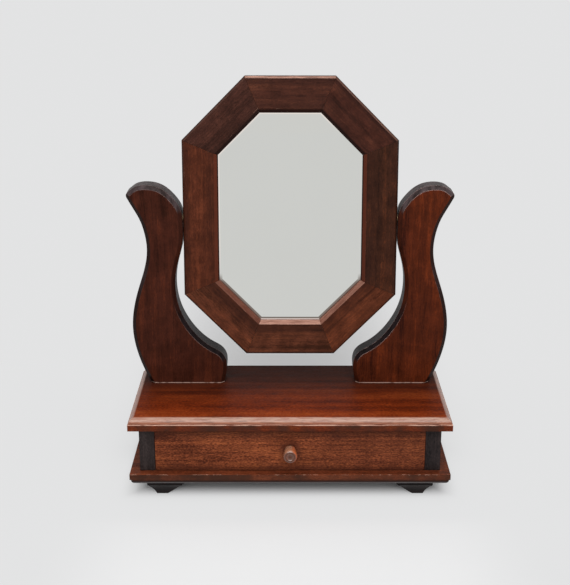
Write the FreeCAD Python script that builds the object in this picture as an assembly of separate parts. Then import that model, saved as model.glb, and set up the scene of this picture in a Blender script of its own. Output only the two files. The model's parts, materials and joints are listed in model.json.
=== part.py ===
import FreeCAD, Part
import math
import os

# A table-top dressing mirror: an octagonal framed glass swings on two serpentine standards, which
# stand on a moulded box with one full-width drawer. Millimetres, +X right, +Y to the back, +Z up.
# The origin is on the table under the middle of the whole object.

os.makedirs("parts", exist_ok=True)

# ---------------------------------------------------------------- driving dimensions

# Top and bottom boards; the margins are the board left showing outside and behind the standards
BOARD_END_MARGIN = 17.4
BOARD_BACK_MARGIN = 33.5
TOP_SQUARE_EDGE = 8.2
BOTTOM_SQUARE_EDGE = 7.3
MOULDING_HEIGHT = 7.9
MOULDING_RUN = 8.4
MOULDING_FILLET = 1.6

# Carcass between the boards
CARCASS_HEIGHT = 59.2
CARCASS_SETBACK = 12.2
CARCASS_BACK_SETBACK = 4.0
POST_WIDTH = 18.9
POST_THICKNESS = 5.0
BACK_THICKNESS = 7.0
BACK_REBATE = 9.0

# Ogee feet
FOOT_HEIGHT = 26.6
FOOT_SETBACK = 19.0
FOOT_BACK_SETBACK = 6.0
FOOT_FILLET = 9.4
FOOT_RECESSION = 11.0
FOOT_HOLLOW = 2.8
FOOT_THICKNESS = 20.0
FOOT_PAD = 24.5
FOOT_LENGTH = 58.0
FOOT_CYMA = [(10.0, 8.0), (20.0, 17.8)]

# Drawer
DRAWER_FRONT_THICKNESS = 16.0
DRAWER_SIDE_THICKNESS = 8.0
DRAWER_BACK_THICKNESS = 8.0
DRAWER_BOTTOM_THICKNESS = 4.0
DRAWER_SIDE_DROP = 4.0
DRAWER_BOTTOM_HEIGHT = 5.0
GROOVE_DEPTH = 3.5
TAIL_LENGTH = 10.0
TAIL_ROOT = 9.0
TAIL_FLARE = 2.0
TAIL_COUNT = 3
DRAWER_SIDE_GAP = 0.6
DRAWER_TOP_GAP = 1.0
DRAWER_REAR_GAP = 2.0
STOP_LENGTH = 26.0
STOP_DEPTH = 12.0
STOP_HEIGHT = 4.0
STOP_FROM_MIDDLE = 90.0

# Turned knob, measured out from the drawer front
KNOB_BELOW_MIDDLE = 2.0
KNOB_COLLAR_RADIUS = 7.3
KNOB_COLLAR_LENGTH = 3.0
KNOB_NECK_RADIUS = 5.6
KNOB_NECK_AT = 4.4
KNOB_BULB_RADIUS = 8.4
KNOB_BULB_AT = 8.4
KNOB_QUIRK_RADIUS = 7.4
KNOB_QUIRK_AT = 12.4
KNOB_LIP_RADIUS = 8.9
KNOB_LIP_AT = 15.0
KNOB_RIM_RADIUS = 6.2
KNOB_LENGTH = 19.0
KNOB_DISH_RADIUS = 4.6
KNOB_DISH_DEPTH = 0.9

# Mirror frame, its swing and its glass
FRAME_WIDTH = 270.6
FRAME_HEIGHT = 354.8
FRAME_CORNER = 78.7
MEMBER_WIDTH = 44.9
FRAME_THICKNESS = 18.0
FRAME_CHAMFER = 2.6
SIGHT_BEVEL_WIDTH = 5.4
SIGHT_BEVEL_DEPTH = 3.8
GLASS_RECESS = 5.0
REBATE_WIDTH = 6.5
GLASS_THICKNESS = 3.0
BACKING_THICKNESS = 4.0
MITRE_GAP = 0.2
REST_TILT = 4.8
FRAME_ABOVE_BOARD = 43.9
SWIVEL_GAP = 0.7
PIVOT_RADIUS = 2.5
PIVOT_IN_FRAME = 16.0
PIVOT_IN_STANDARD = 14.0
WASHER_RADIUS = 5.5

# Mitre splines and the sprigs behind the glass
SPLINE_THICKNESS = 2.0
SPLINE_WIDTH = 16.0
SPLINE_INSET = 8.0
SPLINE_LENGTH = 24.0
SPLINE_DEPTH = 9.0
SPRIG_RADIUS = 0.7
SPRIG_LENGTH = 13.0
SPRIG_IN_WOOD = 6.0
SPRIG_FROM_CORNER = 22.0

# Serpentine standards. Their outlines are drawn from the seat line, which is the edge nearest the
# frame, outwards in X. Lower points are measured up from the board, upper ones from the pivot.
STANDARD_FRONT = 114.0
STANDARD_THICKNESS = 27.5
STANDARD_CHAMFER = 4.7
BASE_INNER = (-49.5, 0.0)
BASE_OUTER = (46.6, 0.0)
BELLY_OUTER = [(61.4, 35.4), (68.3, 76.0), (59.0, 129.0)]
WAIST_OUTER = [(46.3, -37.3), (53.1, -2.7)]
HORN_CENTRE = (64.2, 30.7)
HORN_RADIUS = 5.8
HORN_FROM = -28.0
HORN_TO = 55.0
CREST = [(60.8, 40.6), (44.8, 44.1), (26.2, 39.7), (10.0, 25.6)]
SEAT_EDGE = [(1.8, 12.0), (0.25, 3.0), (0.0, -11.0), (0.25, -25.0), (1.8, -35.8)]
WAIST_INNER = [(9.0, -63.8), (11.4, -83.3)]
SWEEP_INNER = [(8.0, 107.0), (-8.8, 73.0), (-35.5, 48.4)]
TOE_HIGH = (-44.9, 42.6)
TOE_TIP = (-51.3, 34.0)
TOE_LOW = (-53.0, 25.8)

# Fixings
SCREW_RADIUS = 2.0
SCREW_HEAD_RADIUS = 4.0
SCREW_HEAD_HEIGHT = 2.6
SCREW_POINT = 5.0
SCREW_SLOT = 0.9
SCREW_SLOT_DEPTH = 1.1
STANDARD_SCREW_LENGTH = 36.0
STANDARD_SCREW_INSET = 22.0
FOOT_SCREW_LENGTH = 27.0
FOOT_SCREW_ALONG = 34.0
FOOT_SCREW_IN = 11.0
KNOB_SCREW_LENGTH = 26.0
DOWEL_RADIUS = 3.0
DOWEL_LENGTH = 20.0
DOWEL_IN_BOARD = 9.0
DOWEL_INSET = 30.0
PIN_RADIUS = 0.8
PIN_HEAD_RADIUS = 1.8
PIN_HEAD_HEIGHT = 0.8
PIN_LENGTH = 18.0
PIN_INSET = 12.0
DRAWER_PIN_COUNT = 5

# Clearances
SEAT = 0.3
RUNNING = 0.05
SLIP = 0.1
WASHER_PLAY = 0.2

# ---------------------------------------------------------------- derived places

TOP_THICKNESS = TOP_SQUARE_EDGE + MOULDING_HEIGHT
BOTTOM_THICKNESS = BOTTOM_SQUARE_EDGE + MOULDING_HEIGHT
BOTTOM_UNDERSIDE = FOOT_HEIGHT
BOTTOM_TOP = BOTTOM_UNDERSIDE + BOTTOM_THICKNESS
CARCASS_TOP = BOTTOM_TOP + CARCASS_HEIGHT
TABLE_TOP = CARCASS_TOP + TOP_THICKNESS
PIVOT_Z = TABLE_TOP + FRAME_ABOVE_BOARD + FRAME_HEIGHT / 2
SEAT_LINE_X = FRAME_WIDTH / 2 + SWIVEL_GAP

BOARD_WIDTH = 2 * (SEAT_LINE_X + BASE_OUTER[0] + BOARD_END_MARGIN)
BOARD_DEPTH = STANDARD_FRONT + STANDARD_THICKNESS + BOARD_BACK_MARGIN
KNOB_REACH = KNOB_LENGTH - CARCASS_SETBACK
FRONT_Y = (KNOB_REACH - BOARD_DEPTH) / 2
BACK_Y = FRONT_Y + BOARD_DEPTH
CARCASS_FRONT_Y = FRONT_Y + CARCASS_SETBACK
CARCASS_BACK_Y = BACK_Y - CARCASS_BACK_SETBACK
PANEL_FRONT_Y = CARCASS_FRONT_Y + POST_THICKNESS
BACK_PANEL_Y = CARCASS_BACK_Y - BACK_THICKNESS
STANDARD_FRONT_Y = FRONT_Y + STANDARD_FRONT
PIVOT_Y = STANDARD_FRONT_Y + STANDARD_THICKNESS / 2

CARCASS_HALF = BOARD_WIDTH / 2 - CARCASS_SETBACK
OPENING_HALF = CARCASS_HALF - POST_WIDTH
PIVOT_POINT = FreeCAD.Vector(0, PIVOT_Y, PIVOT_Z)

DRAWER_HALF = OPENING_HALF - DRAWER_SIDE_GAP
DRAWER_LOW = BOTTOM_TOP + SEAT
DRAWER_HIGH = CARCASS_TOP - DRAWER_TOP_GAP
DRAWER_BACK_Y = BACK_PANEL_Y - DRAWER_REAR_GAP
DRAWER_FRONT_BACK_Y = CARCASS_FRONT_Y + DRAWER_FRONT_THICKNESS
DRAWER_SIDE_HIGH = DRAWER_HIGH - DRAWER_SIDE_DROP
DRAWER_FLOOR_LOW = DRAWER_LOW + DRAWER_BOTTOM_HEIGHT
DRAWER_FLOOR_HIGH = DRAWER_FLOOR_LOW + DRAWER_BOTTOM_THICKNESS
KNOB_Z = (DRAWER_LOW + DRAWER_HIGH) / 2 - KNOB_BELOW_MIDDLE

ORIGIN = FreeCAD.Vector(0, 0, 0)
AXIS_X = FreeCAD.Vector(1, 0, 0)
AXIS_Y = FreeCAD.Vector(0, 1, 0)
AXIS_Z = FreeCAD.Vector(0, 0, 1)


# ---------------------------------------------------------------- general shapes

def save(node, shape):
    shape.exportStep("parts/" + node + ".step")


def mirrored(shape):
    """The left-hand copy of a right-hand piece."""
    return shape.mirror(ORIGIN, AXIS_X)


def box(x_span, y_span, z_span):
    corner = FreeCAD.Vector(x_span[0], y_span[0], z_span[0])
    return Part.makeBox(x_span[1] - x_span[0], y_span[1] - y_span[0], z_span[1] - z_span[0], corner)


def line(start, end):
    return Part.LineSegment(start, end).toShape()


def arc(start, middle, end):
    return Part.Arc(start, middle, end).toShape()


def spline(points, start_direction=None, end_direction=None):
    """A smooth curve through the points, leaving or arriving in a set direction where one is given."""
    wanted = [start_direction] + [None] * (len(points) - 2) + [end_direction]
    curve = Part.BSplineCurve()
    if start_direction or end_direction:
        directions = [direction or AXIS_X for direction in wanted]
        flags = [direction is not None for direction in wanted]
        curve.interpolate(Points=points, Tangents=directions, TangentFlags=flags)
    else:
        curve.interpolate(points)
    return curve.toShape()


def prism(edges, direction):
    return Part.Face(Part.Wire(edges)).extrude(direction)


def wood_screw(length, head_at, direction):
    """A slotted countersunk screw whose head face is at head_at, pointing along direction."""
    shank_length = length - SCREW_HEAD_HEIGHT - SCREW_POINT
    head = Part.makeCone(SCREW_HEAD_RADIUS, SCREW_RADIUS, SCREW_HEAD_HEIGHT)
    shank = Part.makeCylinder(SCREW_RADIUS, shank_length, FreeCAD.Vector(0, 0, SCREW_HEAD_HEIGHT))
    point_base = FreeCAD.Vector(0, 0, SCREW_HEAD_HEIGHT + shank_length)
    point = Part.makeCone(SCREW_RADIUS, 0, SCREW_POINT, point_base)
    screw = head.fuse([shank, point]).removeSplitter()
    screw.Placement = FreeCAD.Placement(head_at, FreeCAD.Rotation(AXIS_Z, direction))
    return screw


def slotted(screw, head_at, direction):
    """The same screw with its driving slot, kept apart so that its hole has none."""
    across = SCREW_HEAD_RADIUS + SLIP
    slot = box((-across, across), (-SCREW_SLOT / 2, SCREW_SLOT / 2), (0, SCREW_SLOT_DEPTH))
    slot.Placement = FreeCAD.Placement(head_at, FreeCAD.Rotation(AXIS_Z, direction))
    return screw.cut(slot)


def panel_pin(head_at, direction):
    """A small flat-headed nail driven along direction until its head stands on the surface."""
    head_base = head_at - direction * PIN_HEAD_HEIGHT
    head = Part.makeCylinder(PIN_HEAD_RADIUS, PIN_HEAD_HEIGHT, head_base, direction)
    shank = Part.makeCylinder(PIN_RADIUS, PIN_LENGTH, head_at, direction)
    return head.fuse(shank).removeSplitter()


# ---------------------------------------------------------------- moulded boards

def moulding_section(square_edge, far_edge, to_point):
    """Square edge, small fillet and quarter-round; far_edge closes the section plainly."""
    top = square_edge + MOULDING_HEIGHT
    round_run = MOULDING_RUN - MOULDING_FILLET
    lean = 1 - math.cos(math.pi / 4)
    rise = math.sin(math.pi / 4)
    round_low = to_point(MOULDING_FILLET, square_edge)
    round_mid = to_point(MOULDING_FILLET + round_run * lean, square_edge + MOULDING_HEIGHT * rise)
    round_high = to_point(MOULDING_RUN, top)
    return [
        line(to_point(far_edge, 0), to_point(0, 0)),
        line(to_point(0, 0), to_point(0, square_edge)),
        line(to_point(0, square_edge), round_low),
        arc(round_low, round_mid, round_high),
        line(round_high, to_point(far_edge, top)),
        line(to_point(far_edge, top), to_point(far_edge, 0)),
    ]


def moulded_board(square_edge):
    """A board lying on z = 0, moulded along its front and both ends, plain at the back."""
    half = BOARD_WIDTH / 2

    def front_point(run, height):
        return FreeCAD.Vector(-half, FRONT_Y + run, height)

    def end_point(run, height):
        return FreeCAD.Vector(half - run, FRONT_Y, height)

    front = prism(moulding_section(square_edge, BOARD_DEPTH, front_point), AXIS_X * BOARD_WIDTH)
    right = prism(moulding_section(square_edge, half, end_point), AXIS_Y * BOARD_DEPTH)
    ends = right.fuse(mirrored(right)).removeSplitter()
    return front.common(ends)


def standard_screw_places():
    inner = SEAT_LINE_X + BASE_INNER[0] + STANDARD_SCREW_INSET
    outer = SEAT_LINE_X + BASE_OUTER[0] - STANDARD_SCREW_INSET
    places_x = (-outer, -inner, inner, outer)
    return [FreeCAD.Vector(x, PIVOT_Y, CARCASS_TOP) for x in places_x]


def standard_screws():
    """Four screws up through the top board into the feet of the standards."""
    return [wood_screw(STANDARD_SCREW_LENGTH, place, AXIS_Z) for place in standard_screw_places()]


def dowels():
    """Two dowels join each end of a side panel to each board."""
    middle_x = CARCASS_HALF - POST_WIDTH / 2
    places_y = (PANEL_FRONT_Y + DOWEL_INSET, CARCASS_BACK_Y - DOWEL_INSET)
    upper_z = CARCASS_TOP + DOWEL_IN_BOARD - DOWEL_LENGTH
    lower_z = BOTTOM_TOP - DOWEL_IN_BOARD
    pegs = []
    for x in (-middle_x, middle_x):
        for y in places_y:
            for z in (lower_z, upper_z):
                pegs.append(Part.makeCylinder(DOWEL_RADIUS, DOWEL_LENGTH, FreeCAD.Vector(x, y, z)))
    return pegs


def top_board():
    board = moulded_board(TOP_SQUARE_EDGE)
    board.translate(FreeCAD.Vector(0, 0, CARCASS_TOP))
    return board.cut(standard_screws() + dowels())


def bottom_board():
    board = moulded_board(BOTTOM_SQUARE_EDGE)
    board = board.mirror(ORIGIN, AXIS_Z)
    board.translate(FreeCAD.Vector(0, 0, BOTTOM_TOP))
    return board.cut(foot_screws() + dowels())


# ---------------------------------------------------------------- carcass

def side_panel():
    """The right-hand side, rebated along its back edge for the back panel."""
    inner = OPENING_HALF
    panel = box((inner, CARCASS_HALF), (PANEL_FRONT_Y, CARCASS_BACK_Y), (BOTTOM_TOP, CARCASS_TOP))
    rebate_x = (inner, inner + BACK_REBATE)
    rebate = box(rebate_x, (BACK_PANEL_Y, CARCASS_BACK_Y), (BOTTOM_TOP, CARCASS_TOP))
    return panel.cut([rebate] + dowels() + back_pins())


def post():
    """The ebonised facing on the front edge of the right-hand side."""
    y_span = (CARCASS_FRONT_Y, PANEL_FRONT_Y)
    return box((OPENING_HALF, CARCASS_HALF), y_span, (BOTTOM_TOP, CARCASS_TOP))


def back_panel():
    half = OPENING_HALF + BACK_REBATE - SLIP
    z_span = (BOTTOM_TOP + SLIP, CARCASS_TOP - SLIP)
    panel = box((-half, half), (BACK_PANEL_Y, CARCASS_BACK_Y), z_span)
    return panel.cut(back_pins())


def back_pins():
    """Three pins down each end of the back panel, driven into the sides."""
    x = OPENING_HALF + BACK_REBATE / 2
    heights = (BOTTOM_TOP + PIN_INSET, (BOTTOM_TOP + CARCASS_TOP) / 2, CARCASS_TOP - PIN_INSET)
    places = [FreeCAD.Vector(side * x, CARCASS_BACK_Y, z) for side in (-1, 1) for z in heights]
    return [panel_pin(place, -AXIS_Y) for place in places]


def drawer_stops():
    """Two small blocks on the bottom board that halt the closing drawer front."""
    near = DRAWER_FRONT_BACK_Y + SEAT
    blocks = []
    for x in (-STOP_FROM_MIDDLE, STOP_FROM_MIDDLE):
        x_span = (x - STOP_LENGTH / 2, x + STOP_LENGTH / 2)
        blocks.append(box(x_span, (near, near + STOP_DEPTH), (BOTTOM_TOP, BOTTOM_TOP + STOP_HEIGHT)))
    return blocks


# ---------------------------------------------------------------- feet

def foot_face_section(to_point):
    """A plain fillet at the top, then a hollow that draws the foot in towards its pad."""
    hollow_top = FOOT_HEIGHT - FOOT_FILLET
    hollow_mid = to_point(FOOT_RECESSION / 2 + FOOT_HOLLOW / 2, hollow_top / 2)
    return [
        line(to_point(FOOT_LENGTH, FOOT_HEIGHT), to_point(0, FOOT_HEIGHT)),
        line(to_point(0, FOOT_HEIGHT), to_point(0, hollow_top)),
        arc(to_point(0, hollow_top), hollow_mid, to_point(FOOT_RECESSION, 0)),
        line(to_point(FOOT_RECESSION, 0), to_point(FOOT_LENGTH, 0)),
        line(to_point(FOOT_LENGTH, 0), to_point(FOOT_LENGTH, FOOT_HEIGHT)),
    ]


def foot_wing_cut(to_point):
    """What is sawn away under a wing, from the pad up to the board in a long cyma."""
    pad = to_point(FOOT_PAD, 0)
    middle = [to_point(FOOT_PAD + run, rise) for run, rise in FOOT_CYMA]
    tip = to_point(FOOT_LENGTH, FOOT_HEIGHT)
    low = to_point(FOOT_LENGTH, 0)
    return [spline([pad] + middle + [tip]), line(tip, low), line(low, pad)]


def foot(shaped_face):
    """One foot from its outer corner at the origin, with wings along +X and +Y.

    A front foot is shaped on both faces; a back foot has a plain face behind."""

    def seen_from_front(along, height):
        return FreeCAD.Vector(along, 0, height)

    def seen_from_side(along, height):
        return FreeCAD.Vector(0, along, height)

    side_face = prism(foot_face_section(seen_from_front), AXIS_Y * FOOT_LENGTH)
    block = side_face
    if shaped_face:
        block = block.common(prism(foot_face_section(seen_from_side), AXIS_X * FOOT_LENGTH))
    inside = box((FOOT_THICKNESS, FOOT_LENGTH), (FOOT_THICKNESS, FOOT_LENGTH), (0, FOOT_HEIGHT))
    front_cut = prism(foot_wing_cut(seen_from_front), AXIS_Y * FOOT_LENGTH)
    side_cut = prism(foot_wing_cut(seen_from_side), AXIS_X * FOOT_LENGTH)
    corner = box((0, FOOT_PAD), (0, FOOT_PAD), (0, FOOT_HEIGHT))
    wings = block.cut([inside, front_cut, side_cut])
    return wings.fuse(block.common(corner).cut(inside)).removeSplitter()


def foot_corner(front):
    x = -(BOARD_WIDTH / 2 - FOOT_SETBACK)
    y = FRONT_Y + FOOT_SETBACK if front else BACK_Y - FOOT_BACK_SETBACK
    return FreeCAD.Vector(x, y, 0)


def placed_foot(front):
    """A left-hand foot in its place under the bottom board."""
    piece = foot(front)
    if not front:
        piece = piece.mirror(ORIGIN, AXIS_Y)
    piece.translate(foot_corner(front))
    return piece.cut(foot_screws())


def foot_screws():
    """One screw down through the bottom board into the long wing of each foot."""
    screws = []
    for place in foot_screw_places():
        screws.append(wood_screw(FOOT_SCREW_LENGTH, place, -AXIS_Z))
    return screws


def foot_screw_places():
    places = []
    for front, inward in ((True, 1), (False, -1)):
        corner = foot_corner(front)
        x = corner.x + FOOT_SCREW_ALONG
        y = corner.y + inward * FOOT_SCREW_IN
        places += [FreeCAD.Vector(x, y, BOTTOM_TOP), FreeCAD.Vector(-x, y, BOTTOM_TOP)]
    return places


# ---------------------------------------------------------------- drawer

def drawer_tails(root_y, length, direction):
    """Dovetail tails of the right-hand drawer side, widening along direction in Y."""
    pitch = (DRAWER_SIDE_HIGH - DRAWER_LOW) / TAIL_COUNT
    inner = DRAWER_HALF - DRAWER_SIDE_THICKNESS
    tails = []
    for index in range(TAIL_COUNT):
        middle = DRAWER_LOW + pitch * (index + 1 / 2)
        low = middle - TAIL_ROOT / 2
        high = middle + TAIL_ROOT / 2
        end_y = root_y + direction * length
        corners = [
            FreeCAD.Vector(inner, root_y, low),
            FreeCAD.Vector(inner, end_y, low - TAIL_FLARE),
            FreeCAD.Vector(inner, end_y, high + TAIL_FLARE),
            FreeCAD.Vector(inner, root_y, high),
        ]
        outline = Part.makePolygon(corners + corners[:1])
        tails.append(Part.Face(outline).extrude(AXIS_X * DRAWER_SIDE_THICKNESS))
    return tails


def front_tails():
    return drawer_tails(DRAWER_FRONT_BACK_Y, TAIL_LENGTH, -1)


def back_tails():
    return drawer_tails(DRAWER_BACK_Y - DRAWER_BACK_THICKNESS, DRAWER_BACK_THICKNESS, 1)


def drawer_floor_blank():
    half = DRAWER_HALF - DRAWER_SIDE_THICKNESS + GROOVE_DEPTH
    y_span = (DRAWER_FRONT_BACK_Y - GROOVE_DEPTH, DRAWER_BACK_Y)
    return box((-half, half), y_span, (DRAWER_FLOOR_LOW, DRAWER_FLOOR_HIGH))


def knob_screw_head():
    return FreeCAD.Vector(0, DRAWER_FRONT_BACK_Y, KNOB_Z)


def knob_screw():
    return wood_screw(KNOB_SCREW_LENGTH, knob_screw_head(), -AXIS_Y)


def drawer_front():
    y_span = (CARCASS_FRONT_Y, DRAWER_FRONT_BACK_Y)
    front = box((-DRAWER_HALF, DRAWER_HALF), y_span, (DRAWER_LOW, DRAWER_HIGH))
    sockets = front_tails()
    sockets += [mirrored(tail) for tail in front_tails()]
    return front.cut(sockets + [drawer_floor_blank(), knob_screw()])


def drawer_side():
    """The right-hand side with its tails at both ends and the groove for the floor."""
    x_span = (DRAWER_HALF - DRAWER_SIDE_THICKNESS, DRAWER_HALF)
    y_span = (DRAWER_FRONT_BACK_Y, DRAWER_BACK_Y - DRAWER_BACK_THICKNESS)
    side = box(x_span, y_span, (DRAWER_LOW, DRAWER_SIDE_HIGH))
    side = side.fuse(front_tails() + back_tails()).removeSplitter()
    return side.cut(drawer_floor_blank())


def drawer_back():
    """Stands on the floor panel between the sides and takes their rear tails."""
    y_span = (DRAWER_BACK_Y - DRAWER_BACK_THICKNESS, DRAWER_BACK_Y)
    back = box((-DRAWER_HALF, DRAWER_HALF), y_span, (DRAWER_FLOOR_HIGH, DRAWER_SIDE_HIGH))
    sockets = back_tails()
    sockets += [mirrored(tail) for tail in back_tails()]
    return back.cut(sockets + drawer_pins())


def drawer_pins():
    """Pins up through the floor panel into the drawer back."""
    y = DRAWER_BACK_Y - DRAWER_BACK_THICKNESS / 2
    spread = DRAWER_HALF - DRAWER_SIDE_THICKNESS - PIN_INSET
    pitch = 2 * spread / (DRAWER_PIN_COUNT - 1)
    places_x = [index * pitch - spread for index in range(DRAWER_PIN_COUNT)]
    return [panel_pin(FreeCAD.Vector(x, y, DRAWER_FLOOR_LOW), AXIS_Z) for x in places_x]


def drawer_floor():
    tails = back_tails()
    tails += [mirrored(tail) for tail in back_tails()]
    return drawer_floor_blank().cut(drawer_pins() + tails)


def knob():
    """Turned about the Y axis: collar, neck, bulb, quirk, lip and a dished end."""

    def at(out, radius):
        return FreeCAD.Vector(radius, CARCASS_FRONT_Y - out, KNOB_Z)

    collar_mid = at(KNOB_COLLAR_LENGTH / 2, KNOB_COLLAR_RADIUS)
    collar_base = at(0, KNOB_COLLAR_RADIUS - SEAT)
    collar_end = at(KNOB_COLLAR_LENGTH, KNOB_COLLAR_RADIUS - SEAT)
    neck = at(KNOB_NECK_AT, KNOB_NECK_RADIUS)
    quirk = at(KNOB_QUIRK_AT, KNOB_QUIRK_RADIUS)
    rim = at(KNOB_LENGTH, KNOB_RIM_RADIUS)
    dish_rim = at(KNOB_LENGTH, KNOB_DISH_RADIUS)
    dish_mid = at(KNOB_LENGTH - KNOB_DISH_DEPTH, KNOB_DISH_RADIUS / 2)
    dish_bottom = at(KNOB_LENGTH - KNOB_DISH_DEPTH, 0)
    profile = [
        line(at(0, 0), collar_base),
        arc(collar_base, collar_mid, collar_end),
        line(collar_end, neck),
        arc(neck, at(KNOB_BULB_AT, KNOB_BULB_RADIUS), quirk),
        arc(quirk, at(KNOB_LIP_AT, KNOB_LIP_RADIUS), rim),
        line(rim, dish_rim),
        spline([dish_rim, dish_mid, dish_bottom]),
        line(dish_bottom, at(0, 0)),
    ]
    turned = Part.Face(Part.Wire(profile)).revolve(at(0, 0), AXIS_Y, math.degrees(2 * math.pi))
    return turned.cut(knob_screw())


# ---------------------------------------------------------------- standards

def from_base(point):
    return FreeCAD.Vector(SEAT_LINE_X + point[0], STANDARD_FRONT_Y, TABLE_TOP + point[1])


def from_pivot(point):
    return FreeCAD.Vector(SEAT_LINE_X + point[0], STANDARD_FRONT_Y, PIVOT_Z + point[1])


def horn_point(degrees):
    """A place on the round tip of the horn, and the direction of the outline there."""
    turn = math.radians(degrees)
    x = HORN_CENTRE[0] + HORN_RADIUS * math.cos(turn)
    z = HORN_CENTRE[1] + HORN_RADIUS * math.sin(turn)
    return from_pivot((x, z)), FreeCAD.Vector(-math.sin(turn), 0, math.cos(turn))


def standard_outline():
    """Up the outer side, round the tip of the horn, over the crest and down the inner side."""
    horn_low, rising = horn_point(HORN_FROM)
    horn_tip, upright = horn_point((HORN_FROM + HORN_TO) / 2)
    horn_high, turning_in = horn_point(HORN_TO)
    outer = [from_base(point) for point in [BASE_OUTER] + BELLY_OUTER]
    outer += [from_pivot(point) for point in WAIST_OUTER] + [horn_low]
    inner = [horn_high] + [from_pivot(point) for point in CREST + SEAT_EDGE + WAIST_INNER]
    inner += [from_base(point) for point in SWEEP_INNER + [TOE_HIGH, TOE_TIP, TOE_LOW, BASE_INNER]]
    return [
        spline(outer, end_direction=rising),
        arc(horn_low, horn_tip, horn_high),
        spline(inner, start_direction=turning_in),
        line(inner[-1], outer[0]),
    ]


def is_on_front_arris(edge):
    """True for the outline's edges on the front face, but not for the foot line."""
    box_of_edge = edge.BoundBox
    on_front = abs(box_of_edge.YMax - STANDARD_FRONT_Y) < SLIP
    above_foot = box_of_edge.ZMax > TABLE_TOP + SLIP
    return on_front and above_foot


def standard():
    """The right-hand standard with its chamfered front arris, pivot hole and screw holes."""
    body = prism(standard_outline(), AXIS_Y * STANDARD_THICKNESS)
    arrises = [edge for edge in body.Edges if is_on_front_arris(edge)]
    body = body.makeChamfer(STANDARD_CHAMFER, arrises)
    hole_start = FreeCAD.Vector(SEAT_LINE_X - SWIVEL_GAP, PIVOT_Y, PIVOT_Z)
    hole_depth = SWIVEL_GAP + PIVOT_IN_STANDARD + SEAT
    hole = Part.makeCylinder(PIVOT_RADIUS + RUNNING, hole_depth, hole_start, AXIS_X)
    return body.cut([hole] + standard_screws())


# ---------------------------------------------------------------- mirror frame

FRAME_MEMBERS = [
    "frame_top", "frame_top_right", "frame_right", "frame_bottom_right",
    "frame_bottom", "frame_bottom_left", "frame_left", "frame_top_left",
]


def octagon(inset, depth):
    """Corners of the frame's octagon, moved in by inset, at a depth behind the front face."""
    half_width = FRAME_WIDTH / 2 - inset
    half_height = FRAME_HEIGHT / 2 - inset
    corner = FRAME_CORNER - inset * (2 - math.sqrt(2))
    y = PIVOT_Y - FRAME_THICKNESS / 2 + depth
    flat_x = half_width - corner
    flat_z = half_height - corner
    plan = [
        (-flat_x, half_height), (flat_x, half_height), (half_width, flat_z), (half_width, -flat_z),
        (flat_x, -half_height), (-flat_x, -half_height), (-half_width, -flat_z), (-half_width, flat_z),
    ]
    return [FreeCAD.Vector(x, y, PIVOT_Z + z) for x, z in plan]


def closed_wire(corners):
    return Part.makePolygon(corners + corners[:1])


def octagon_plate(inset, near, far):
    face = Part.Face(closed_wire(octagon(inset, near)))
    return face.extrude(AXIS_Y * (far - near))


def octagon_taper(near_inset, near, far_inset, far):
    wires = [closed_wire(octagon(near_inset, near)), closed_wire(octagon(far_inset, far))]
    return Part.makeLoft(wires, True, True)


def frame_ring():
    """The whole moulded octagon before it is parted at its mitres."""
    outside = octagon_taper(FRAME_CHAMFER, 0, 0, FRAME_CHAMFER)
    outside = outside.fuse(octagon_plate(0, FRAME_CHAMFER, FRAME_THICKNESS))
    bevel = octagon_taper(MEMBER_WIDTH - SIGHT_BEVEL_WIDTH, 0, MEMBER_WIDTH, SIGHT_BEVEL_DEPTH)
    sight = octagon_plate(MEMBER_WIDTH, SIGHT_BEVEL_DEPTH, GLASS_RECESS)
    rebate = octagon_plate(MEMBER_WIDTH - REBATE_WIDTH, GLASS_RECESS, FRAME_THICKNESS)
    return outside.cut([bevel, sight, rebate]).removeSplitter()


def frame_sector(index):
    """The wedge of one member, held back from its neighbours by half a mitre gap."""
    outer = octagon(-SLIP, 0)
    inner = octagon(MEMBER_WIDTH + SLIP, 0)
    following = (index + 1) % len(outer)
    face = Part.Face(closed_wire([outer[index], outer[following], inner[following], inner[index]]))
    wedge = face.extrude(AXIS_Y * FRAME_THICKNESS)
    return wedge.cut([mitre_slit(index), mitre_slit(following)])


def mitre_line(index):
    """Start and direction of a corner's mitre, from the outside in."""
    start = octagon(0, 0)[index]
    end = octagon(MEMBER_WIDTH, 0)[index]
    direction = FreeCAD.Vector(end).sub(start)
    direction.normalize()
    return start, direction


def mitre_plate(index, start_in, length, width, near, far):
    """A flat plate laid along a mitre, width across it, between two depths."""
    start, inward = mitre_line(index)
    across = inward.cross(AXIS_Y) * (width / 2)
    first = start + inward * start_in + AXIS_Y * near
    last = first + inward * length
    corners = [first - across, first + across, last + across, last - across]
    return Part.Face(closed_wire(corners)).extrude(AXIS_Y * (far - near))


def mitre_slit(index):
    diagonal = MEMBER_WIDTH * 2
    return mitre_plate(index, -SLIP - MEMBER_WIDTH / 2, diagonal, MITRE_GAP, 0, FRAME_THICKNESS)


def mitre_splines():
    """A thin loose tongue across each mitre, inside the wood."""
    near = SPLINE_DEPTH - SPLINE_THICKNESS / 2
    far = SPLINE_DEPTH + SPLINE_THICKNESS / 2
    corners = range(len(FRAME_MEMBERS))
    return [mitre_plate(index, SPLINE_INSET, SPLINE_LENGTH, SPLINE_WIDTH, near, far) for index in corners]


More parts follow.
